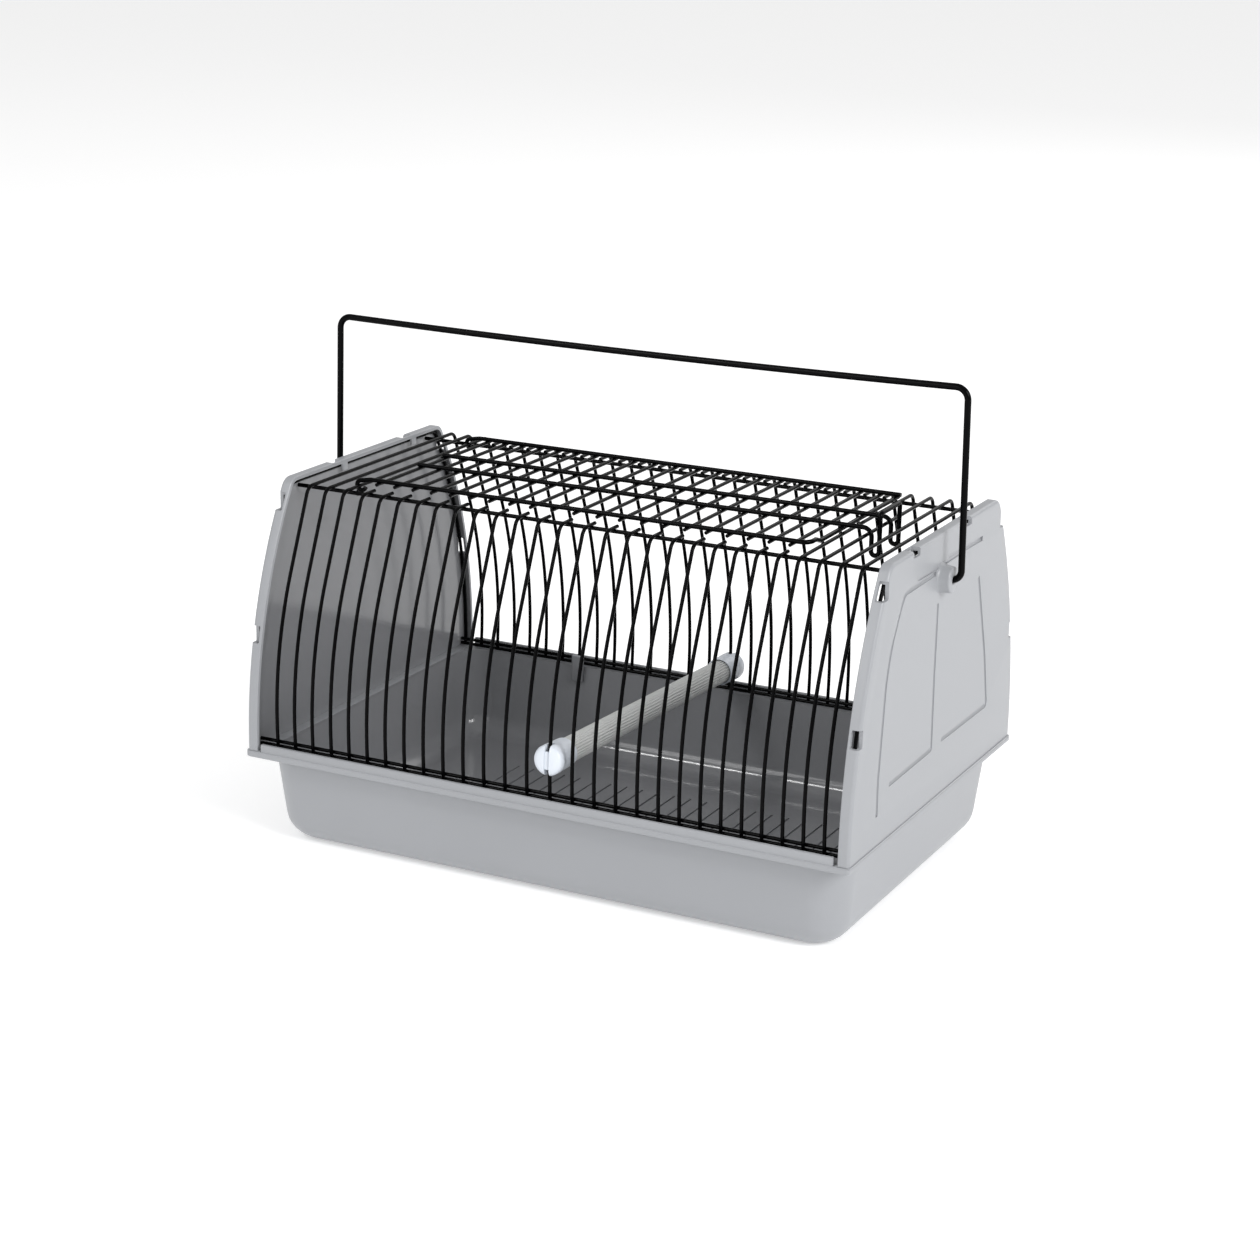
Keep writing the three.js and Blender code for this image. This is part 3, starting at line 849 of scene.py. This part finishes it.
    def build(self, shop: Workshop) -> None:
        """Builds the panel and hands it over."""
        inner = self.half_length - self.depth
        start = self.half_length - self.edge_round
        layers = [(inner, 0.3), (inner + 0.3, 0.0)]
        for i in range(7):
            a = math.radians(90 * i / 6)
            layers.append((start + self.edge_round * math.sin(a), self.edge_round * (1 - math.cos(a))))
        pan = self.slab([(inner - 2, self.web), (self.half_length - self.plate, self.web)], self.bottom - 4)
        turn = self.across(self.half_length - 9)
        bore = Builder().lathe([(self.bore, 0), (self.bore, 18)], turn).mesh("bore_cutter")
        lines = [shop.bend("line_cutter", [path], self.line_radius, 10) for path in self.line_paths()]
        cutters = [pan, self.windows(), self.pocket(), bore, *lines]
        solid = cut(self.slab(layers, self.seat), cutters, "panel_cut")
        solid = join("panel", [solid, self.boss(), self.tabs()])
        self.mark_painted_shade(solid)
        if self.side is Side.LEFT:
            solid.transform(Matrix.Scale(-1, 4, (1, 0, 0)))
            solid.flip_normals()
        name = f"{self.side.name.lower()}_end_panel"
        shop.hand_over(f"{name}_shell", solid, "cage", [name], (BODY_PLASTIC, SHADED_INSIDE_PLASTIC))

    def mark_painted_shade(self, mesh: bpy.types.Mesh) -> None:
        """Gives the pan's inner face and the inner side of its flange the darker finish: painted shade inside
        the panel and its channel.
        """
        for face in mesh.polygons:
            middle = face.center / MM
            plate_side = middle.x < self.half_length - self.plate + 0.05
            inward = face.normal.x < -0.5 and middle.x > self.half_length - self.depth + 0.4
            under = face.normal.dot(Vector((0, middle.y, middle.z - 90))) < 0 and abs(face.normal.x) < 0.3
            face.material_index = int(bool(plate_side and (inward or under)))


# ---- wire cage ------------------------------------------------------------------------------


@dataclass
class BarSpacing:
    """Where the cage's bars stand along X."""

    count: int = 28
    pitch: float = 10.16
    spread: float = 2.9
    spread_span: float = 12.5
    spread_power: float = 0.8
    first_short: int = 3
    last_short: int = 23

    @property
    def middle(self) -> float:
        """Returns the number of the place half-way along the row."""
        return (self.count - 1) / 2

    def x(self, number: int) -> float:
        """Returns a bar's X in millimetres."""
        offset = number - self.middle
        lean = self.spread * math.sin(math.pi * (abs(offset) / self.spread_span) ** self.spread_power)
        return math.copysign(self.pitch * abs(offset) + lean, offset)


@dataclass
class Cage:
    """The barrel-curved bars, their rails and the hoops."""

    spacing: BarSpacing
    bar_radius: float = 0.85
    rail_radius: float = 0.95
    low_rail_radius: float = 0.85
    belly_y: float = 94.0
    belly_z: float = 62.0
    belly_radius: float = 170.0
    straight_z: float = 128.0
    foot: float = 46.7
    top: float = 164.5
    bend: float = 5.0
    hoop_out: float = 0.55
    short_end: float = 54.6
    edge_x: float = 147.15
    rail_half_x: float = 147.3
    top_rail_y: Point2 = (-57.5, 56.0)
    top_rail_z: float = 162.9
    low_rail_y: float = 91.95
    low_rail_z: Point2 = (47.2, 49.5)
    edge_inset: float = 3.1

    def half_depth(self, z: float) -> float:
        """Returns a bar's distance from the middle plane at a height."""
        def arc(h: float) -> float:
            """Returns the belly's arc at a height."""
            swell = math.sqrt(self.belly_radius ** 2 - (h - self.belly_z) ** 2)
            return self.belly_y - self.belly_radius + swell
        if z <= self.straight_z:
            return arc(z)
        rise = self.straight_z - self.belly_z
        slope = rise / math.sqrt(self.belly_radius ** 2 - rise ** 2)
        return arc(self.straight_z) - slope * (z - self.straight_z)

    def side_run(self, x: float, face: Face, out: float) -> list[tuple[Vector, float]]:
        """Returns one side of a bar, from its foot to its upper corner."""
        steps = 16
        top = self.top + out
        run = []
        for i in range(steps + 1):
            z = self.foot + (self.straight_z - self.foot) * i / steps
            run.append((Vector((x, face.value * (self.half_depth(z) + out), z)), 0.0))
        run.append((Vector((x, face.value * (self.half_depth(top) + out), top)), self.bend))
        return run

    def grille(self, shop: Workshop, face: Face) -> None:
        """Builds one face's short bars and rails and hands them over."""
        run = self.side_run(0.0, face, 0.0)
        run.append((Vector((0.0, face.value * self.short_end, self.top)), 0.0))
        bars = shop.row("bars", rounded_path(run), self.bar_radius, self.spacing)
        top_y = self.top_rail_y[0] if face is Face.FRONT else self.top_rail_y[1]
        top_rail = shop.bend("top_rail", [self.rail(top_y, self.top_rail_z)], self.rail_radius)
        runs = [self.rail(face.value * self.low_rail_y, z) for z in self.low_rail_z]
        low_rails = shop.bend("low_rails", runs, self.low_rail_radius)
        name = f"{face.name.lower()}_grille"
        mesh = join(name, [bars, top_rail, low_rails])
        shop.hand_over(f"{name}_bars", mesh, "cage", [name], (BLACK_WIRE,))

    def rail(self, y: float, z: float) -> list[Vector]:
        """Returns a straight rail's two ends."""
        return [Vector((-self.rail_half_x, y, z)), Vector((self.rail_half_x, y, z))]

    def hoop(self, shop: Workshop, number: int) -> None:
        """Builds one full hoop and hands it over."""
        x = self.spacing.x(number)
        front = self.side_run(x, Face.FRONT, self.hoop_out)
        back = list(reversed(self.side_run(x, Face.BACK, self.hoop_out)))
        mesh = shop.bend("hoop", [rounded_path(front + back)], self.bar_radius)
        node = f"hoop_bar_{number + 1:02d}"
        shop.hand_over(f"{node}_wire", mesh, "cage", [node], (BLACK_WIRE,))

    def edge_hoop(self, shop: Workshop, panel: EndPanel) -> None:
        """Builds the hoop that runs in a panel's channel and hands it over."""
        x = panel.side.value * self.edge_x
        outline = panel.outline(self.edge_inset)
        points = [Vector((x, y, max(z, panel.bottom + 1))) for y, z in outline]
        mesh = shop.bend("edge_hoop", [points], self.bar_radius)
        node = f"{panel.side.name.lower()}_edge_hoop"
        shop.hand_over(f"{node}_wire", mesh, "cage", [node], (BLACK_WIRE,))

    def build(self, shop: Workshop, panels: Sequence[EndPanel]) -> None:
        """Builds the whole cage."""
        for face in Face:
            self.grille(shop, face)
        for number in range(self.spacing.count):
            if not self.spacing.first_short <= number <= self.spacing.last_short:
                self.hoop(shop, number)
        for panel in panels:
            self.edge_hoop(shop, panel)


# ---- top door and latch ---------------------------------------------------------------------


@dataclass
class TopDoor:
    """The door in the roof and the sprung latch that goes on from its cross wires."""

    cage: Cage
    wire_radius: float = 1.05
    wire_z: float = 168.2
    bar_z: float = 166.8
    edge_z: float = 166.6
    edge_x: float = 106.0
    corner: float = 4.0
    front_y: float = -50.5
    back_y: float = 49.5
    cross_y: tuple[float, float] = (-13.5, 9.3)
    bar_front: float = -53.0
    bar_back: float = 52.0
    curl_radius: float = 2.3
    latch_cut: float = 106.9
    leg_x: float = 119.65
    pull_x: float = 123.35
    latch_bottom: float = 156.2
    latch_top: float = 175.2

    def curl(self, y: float) -> list[Vector]:
        """Returns the end of a door wire curled round its hinge bar."""
        x = self.cage.spacing.x(self.cage.spacing.first_short - 1)
        z = self.cage.top + self.cage.hoop_out
        steps = 24
        points = []
        for i in range(steps, -1, -1):
            a = math.radians(90 + 250 * i / steps)
            points.append(Vector((x + self.curl_radius * math.cos(a), y, z + self.curl_radius * math.sin(a))))
        points.append(Vector((x + 5, y, self.wire_z)))
        return points

    def wires(self) -> list[list[Vector]]:
        """Returns the door's four long wires."""
        front = rounded_path([
            (Vector((0, self.front_y, self.wire_z)), 0.0),
            (Vector((self.edge_x, self.front_y, self.wire_z)), self.corner),
            (Vector((self.edge_x, self.front_y + 7, self.wire_z)), 0.0),
            (Vector((self.edge_x, self.front_y + 12, self.edge_z)), 0.0),
            (Vector((self.edge_x, self.bar_back, self.edge_z)), 0.0),
        ])
        back = [Vector((self.edge_x + 2.4, self.back_y, self.wire_z))]
        start = self.cage.spacing.x(self.cage.spacing.first_short) - 1.5
        crosses = [[Vector((start, y, self.wire_z)), Vector((self.latch_cut, y, self.wire_z))]
                   for y in self.cross_y]
        return [self.curl(self.front_y) + front, self.curl(self.back_y) + back, *crosses]

    def build_door(self, shop: Workshop) -> None:
        """Builds the door and hands it over."""
        line = [Vector((0, self.bar_front, self.bar_z)), Vector((0, self.bar_back, self.bar_z))]
        bars = shop.row("door_bars", line, self.cage.bar_radius, self.cage.spacing)
        wires = shop.bend("door_wires", self.wires(), self.wire_radius)
        mesh = join("top_door", [bars, wires])
        shop.hand_over("top_door_wires", mesh, "door", ["top_door"], (BLACK_WIRE,))

    def build_latch(self, shop: Workshop) -> None:
        """Builds the latch and hands it over."""
        half_u = (self.pull_x - self.leg_x) / 2

        def hook(y: float) -> list[tuple[Vector, float]]:
            """Returns one hook's corners."""
            return [
                (Vector((self.latch_cut + 0.3, y, self.wire_z)), 0.0),
                (Vector((self.leg_x, y, self.wire_z)), 4.0),
                (Vector((self.leg_x, y, self.latch_bottom)), half_u),
                (Vector((self.pull_x, y, self.latch_bottom)), half_u),
                (Vector((self.pull_x, y, self.latch_top)), 1.9),
            ]
        corners = hook(self.cross_y[0]) + list(reversed(hook(self.cross_y[1])))
        mesh = shop.bend("latch", [rounded_path(corners)], self.wire_radius)
        shop.hand_over("door_latch_wire", mesh, "latch", ["door_latch"], (BLACK_WIRE,))


# ---- bail -----------------------------------------------------------------------------------


@dataclass
class Bail:
    """The carrying handle."""

    radius: float = 1.5
    foot_x: float = 158.6
    top_x: float = 157.0
    top_z: float = 232.7
    sag: float = 1.5
    inner_x: float = 147.6
    foot_bend: float = 4.5
    top_bend: float = 5.5

    def build(self, shop: Workshop, panel: EndPanel) -> None:
        """Builds the bail through the panels' bores and hands it over."""
        y, foot = panel.boss_y, panel.boss_z

        def half(side: Side) -> list[tuple[Vector, float]]:
            """Returns the corners at one end."""
            return [
                (Vector((side.value * self.inner_x, y, foot)), 0.0),
                (Vector((side.value * self.foot_x, y, foot)), self.foot_bend),
                (Vector((side.value * self.top_x, y, self.top_z)), self.top_bend),
            ]
        span = self.top_x - 12
        dip = []
        for i in range(-12, 13):
            x = span * i / 12
            dip.append((Vector((x, y, self.top_z - self.sag * (1 - (x / self.top_x) ** 2))), 0.0))
        corners = half(Side.LEFT) + dip + list(reversed(half(Side.RIGHT)))
        mesh = shop.bend("bail", [rounded_path(corners, 12)], self.radius, 24)
        shop.hand_over("handle_bail_wire", mesh, "handle", ["handle_bail"], (BLACK_WIRE,))


# ---- perch ----------------------------------------------------------------------------------


@dataclass
class Perch:
    """The fluted rod and the two clips that hold it on a bar at the front and at the back."""

    x: float = 5.77
    middle_z: float = 62.25
    rise: float = 4.25
    span: float = 93.95
    rod_radius: float = 5.75
    rod_gap: float = 6.3
    flutes: int = 26
    flute_depth: float = 0.35
    head: float = 7.0

    @property
    def reach(self) -> float:
        """Returns the distance from the rod's middle to a bar."""
        return math.hypot(self.rise, self.span)

    def place(self, face: Optional[Face] = None) -> Matrix:
        """Returns the placing of the rod, or of a clip, with +Y along it and outwards."""
        tilt = Matrix.Rotation(-math.atan2(self.rise, self.span), 4, "X")
        where = Matrix.Translation((self.x, 0, self.middle_z)) @ tilt
        if face is None:
            return where
        turn = Matrix.Rotation(math.pi, 4, "Z") if face is Face.FRONT else Matrix.Identity(4)
        return where @ Matrix.Translation((0, face.value * self.reach, 0)) @ turn

    def rod(self, shop: Workshop) -> None:
        """Builds the fluted rod and hands it over."""
        half = self.reach - self.rod_gap
        count = self.flutes * 8
        rings = []
        for y, shrink in ((-half, 0.5), (-half + 0.5, 0.0), (half - 0.5, 0.0), (half, 0.5)):
            ring = []
            for i in range(count):
                a = 2 * math.pi * i / count
                dip = self.flute_depth * (1 - abs(math.sin(self.flutes * a / 2)))
                r = self.rod_radius - shrink - dip
                ring.append(self.place() @ Vector((r * math.sin(a), y, r * math.cos(a))))
            rings.append(ring)
        mesh = Builder().loft(rings).mesh("perch_rod")
        shop.hand_over("perch_rod_fluted", mesh, "perch", ["perch_rod"], (PERCH_PLASTIC,))

    def clip(self, shop: Workshop, face: Face) -> None:
        """Builds one clip and hands it over."""
        upright = Matrix.Rotation(-math.pi / 2, 4, "X")
        r = self.head
        profile = [(0.0, -4.5), (r - 0.1, -4.5), (r, -3.2), (r, 1.4), (r - 0.25, 2.1), (r - 0.9, 2.8),
                   (r - 2.2, 3.3), (r - 4.0, 3.5), (0.0, 3.55)]
        head = Builder().lathe(profile[1:-1], upright).mesh("clip_head")
        slot = Builder().box((-1.2, -2.4, -20), (1.2, 20, 20)).mesh("slot_cutter")
        head = cut(head, [slot], "clip_head_cut")
        extras = Builder()
        collar = [(6.05, -6), (6.05, -13), (6.35, -13.2), (6.7, -13), (6.9, -4.2), (6.05, -4.2), (6.05, -6)]
        extras.lathe(collar, upright)
        extras.lathe([(6.2, -6.0), (6.2, -4.3)], upright)
        extras.box((-0.9, 1.3, -4.2), (2.2, 3.0, 4.2), 0.8, 3)
        mesh = join("clip", [head, extras.mesh("clip_extras")])
        mesh.transform(Matrix.Scale(1 / MM, 4))
        mesh.transform(self.place(face))
        mesh.transform(Matrix.Scale(MM, 4))
        name = f"perch_clip_{face.name.lower()}"
        shop.hand_over(f"{name}_moulded", mesh, "perch", [name], (CLIP_PLASTIC,))

    def build(self, shop: Workshop) -> None:
        """Builds the rod and both clips."""
        self.rod(shop)
        for face in Face:
            self.clip(shop, face)


# ---- stage, lights and camera ---------------------------------------------------------------


@dataclass
class Studio:
    """The pale floor, the soft lights and the camera."""

    azimuth: float = 26.74
    elevation: float = 17.12
    roll: float = 1.09
    distance: float = 1270.0
    focal_share: float = 2725.4 / 1260
    target: tuple[float, float, float] = (-7.53, 0.03, 91.05)
    shift: Point2 = (0.00663, 0.01323)
    surround: float = 0.6

    def camera(self) -> None:
        """Creates the camera."""
        a, e = math.radians(self.azimuth), math.radians(self.elevation)
        away = Vector((math.sin(a) * math.cos(e), -math.cos(a) * math.cos(e), math.sin(e)))
        data = bpy.data.cameras.new("camera")
        data.sensor_width = 36.0
        data.lens = 36.0 * self.focal_share
        data.shift_x, data.shift_y = self.shift
        data.clip_end = 50.0
        thing = bpy.data.objects.new("camera", data)
        bpy.context.scene.collection.objects.link(thing)
        look = (-away).to_track_quat("-Z", "Y").to_matrix().to_4x4()
        spin = Matrix.Rotation(math.radians(self.roll), 4, "Z")
        middle = Vector(self.target) * MM
        thing.matrix_world = Matrix.Translation(middle + away * self.distance * MM) @ look @ spin
        bpy.context.scene.camera = thing

    def light(self, name: str, place: Sequence[float], size: Point2, power: float) -> None:
        """Adds a soft rectangular light aimed at the carrier."""
        data = bpy.data.lights.new(name, "AREA")
        data.shape = "RECTANGLE"
        data.size, data.size_y = size
        data.energy = power
        thing = bpy.data.objects.new(name, data)
        bpy.context.scene.collection.objects.link(thing)
        aim = Vector((0, 0, 0.09)) - Vector(place)
        thing.matrix_world = Matrix.Translation(place) @ aim.to_track_quat("-Z", "Y").to_matrix().to_4x4()

    def floor(self) -> None:
        """Adds the pale floor."""
        bm = bmesh.new()
        bmesh.ops.create_grid(bm, x_segments=1, y_segments=1, size=30.0)
        mesh = bpy.data.meshes.new("floor")
        bm.to_mesh(mesh)
        bm.free()
        mesh.materials.append(StageFinish().material())
        new_object("floor", mesh)

    def sky(self) -> None:
        """Sets the white surround."""
        world = bpy.data.worlds.new("surround")
        bpy.context.scene.world = world
        world.use_nodes = True
        world.node_tree.nodes.clear()
        net = Net(world.node_tree)
        seen = net.out("ShaderNodeLightPath", output="Is Camera Ray")
        strength = seen * (1.0 - self.surround) + self.surround
        back = net.out("ShaderNodeBackground", {}, {"Color": (1.0, 1.0, 1.0, 1.0), "Strength": strength})
        net.node("ShaderNodeOutputWorld", {}, {"Surface": back})
        bpy.context.scene.view_settings.view_transform = "Standard"

    def build(self) -> None:
        """Builds the whole studio."""
        self.camera()
        self.floor()
        self.sky()
        self.light("key_right", (2.3, -0.7, 1.5), (1.1, 1.1), 46.0)
        self.light("front", (-0.9, -2.4, 1.2), (1.5, 1.0), 16.0)
        self.light("glint", (-1.25, -1.7, 2.3), (0.55, 0.22), 11.0)
        self.light("back", (0.4, 2.4, 1.4), (1.6, 1.2), 8.0)


def main() -> None:
    """Builds every piece in order."""
    logging.basicConfig(level=logging.INFO, format="%(name)s %(message)s")
    shop = Workshop()
    Tray().build(shop)
    panels = [EndPanel(Side.LEFT), EndPanel(Side.RIGHT)]
    for panel in panels:
        panel.build(shop)
    cage = Cage(BarSpacing())
    cage.build(shop, panels)
    door = TopDoor(cage)
    door.build_door(shop)
    door.build_latch(shop)
    Bail().build(shop, panels[1])
    Perch().build(shop)
    Studio().build()


if __name__ == "__main__":
    main()
